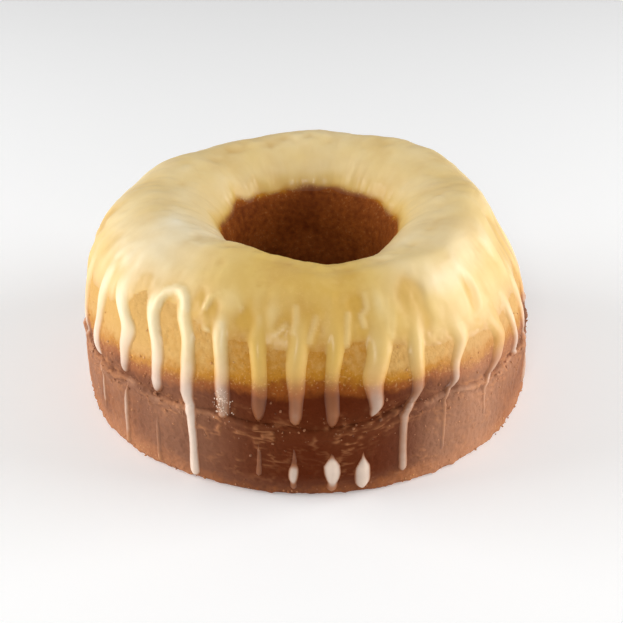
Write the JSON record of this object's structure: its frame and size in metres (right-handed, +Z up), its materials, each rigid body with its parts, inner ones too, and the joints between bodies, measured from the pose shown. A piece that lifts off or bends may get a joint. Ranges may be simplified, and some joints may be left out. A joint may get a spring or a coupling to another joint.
{
  "type": "bundt cake",
  "caption": "Round ring cake with a central hole, a dark crust band below a ledge, a rounded golden crown and uneven drips of glaze down its side.",
  "frame": {"origin": "centre of the flat base, on the surface that the cake stands on", "axes": "+Z up through the hole, -Y towards the front of the picture, +X to its right"},
  "size_m": [0.1619, 0.1629, 0.0732],
  "materials": {
    "crust": "baked crust, dark brown below and in the hole, golden above",
    "glaze": "glossy translucent cream sugar glaze"
  },
  "bodies": {
    "root": {"cake": "crust"}
  },
  "joints": []
}
